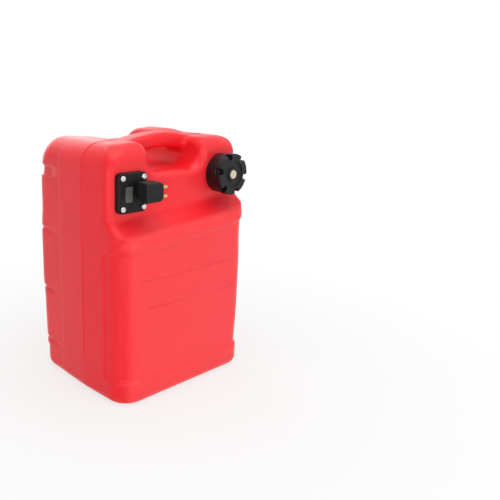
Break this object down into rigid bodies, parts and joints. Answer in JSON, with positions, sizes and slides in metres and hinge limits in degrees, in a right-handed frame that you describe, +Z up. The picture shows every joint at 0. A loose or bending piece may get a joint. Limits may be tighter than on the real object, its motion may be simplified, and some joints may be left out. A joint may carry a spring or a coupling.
{
  "type": "outboard fuel tank",
  "caption": "Upright portable fuel tank for an outboard motor: hollow moulded body with carrying handle, vented screw cap, float gauge with window, and an outlet elbow with two pins.",
  "frame": {"origin": "centre of the flat base, on the floor it stands on, in the middle of the body's depth", "axes": "+Z up; the front face with cap and gauge looks along -Y; +X runs from the gauge to the filler cap"},
  "size_m": [0.2872, 0.2465, 0.4205],
  "materials": {
    "red_polyethylene": "satin, fine moulded grain",
    "black_plastic": "satin, moulded",
    "black_rubber": "matte",
    "brass": "turned",
    "stainless_steel": "turned",
    "clear_window": "clear",
    "white_plastic": "satin",
    "float_foam": "closed-cell, matte",
    "fuel_hose": "matte"
  },
  "bodies": {
    "tank": {"tank_shell": "red_polyethylene", "handle_bar": "red_polyethylene", "gauge_flange": "black_plastic", "flange_gasket": "black_rubber", "flange_screws": "stainless_steel", "threaded_inserts": "brass", "window_lens": "clear_window", "pivot_pin": "stainless_steel", "pickup_tube": "fuel_hose", "pickup_strainer": "white_plastic", "outlet_elbow": "black_plastic", "elbow_oring": "black_rubber", "fuel_nipple": "brass", "guide_pin": "brass", "check_spring": "stainless_steel"},
    "cap_seal": {"cap_gasket": "black_rubber"},
    "cap": {"filler_cap": "black_plastic"},
    "vent_washer": {"vent_seal": "black_rubber"},
    "vent": {"vent_screw": "brass"},
    "float": {"sector_gear": "white_plastic", "float_arm": "stainless_steel", "fuel_float": "float_foam"},
    "drum": {"gauge_drum": "white_plastic", "drum_pinion": "white_plastic", "drum_shaft": "stainless_steel"},
    "ball": {"check_ball": "stainless_steel"}
  },
  "joints": [
    {"name": "cap_rise", "type": "slide", "parent": "tank", "child": "cap_seal", "axis": [0, -1, 0], "range_m": [0, 0.008]},
    {"name": "cap_turn", "type": "hinge", "parent": "cap_seal", "child": "cap", "pos_m": [0.095, -0.1085, 0.3525], "axis": [0, -1, 0], "range_deg": [0, 720]},
    {"name": "vent_rise", "type": "slide", "parent": "cap", "child": "vent_washer", "axis": [0, -1, 0], "range_m": [0, 0.0024]},
    {"name": "vent_turn", "type": "hinge", "parent": "vent_washer", "child": "vent", "pos_m": [0.095, -0.124, 0.3525], "axis": [0, -1, 0], "range_deg": [0, 720]},
    {"name": "float_swing", "type": "hinge", "parent": "tank", "child": "float", "pos_m": [-0.1094, -0.0611, 0.3374], "axis": [1, 0, 0], "range_deg": [0, 95]},
    {"name": "drum_turn", "type": "hinge", "parent": "tank", "child": "drum", "pos_m": [-0.1084, -0.0842, 0.3374], "axis": [1, 0, 0], "range_deg": [-218, 0]},
    {"name": "check_slide", "type": "slide", "parent": "tank", "child": "ball", "axis": [-1, 0, 0], "range_m": [0, 0.002], "stiffness_N_per_m": 150, "springref_m": -0.002, "deforming": ["check_spring"]}
  ],
  "couplings": [
    {"joint": "cap_rise", "follows": "cap_turn", "m_per_rad": 0.0006366},
    {"joint": "vent_rise", "follows": "vent_turn", "m_per_rad": 0.00019098},
    {"joint": "drum_turn", "follows": "float_swing", "ratio": -2.2857}
  ]
}
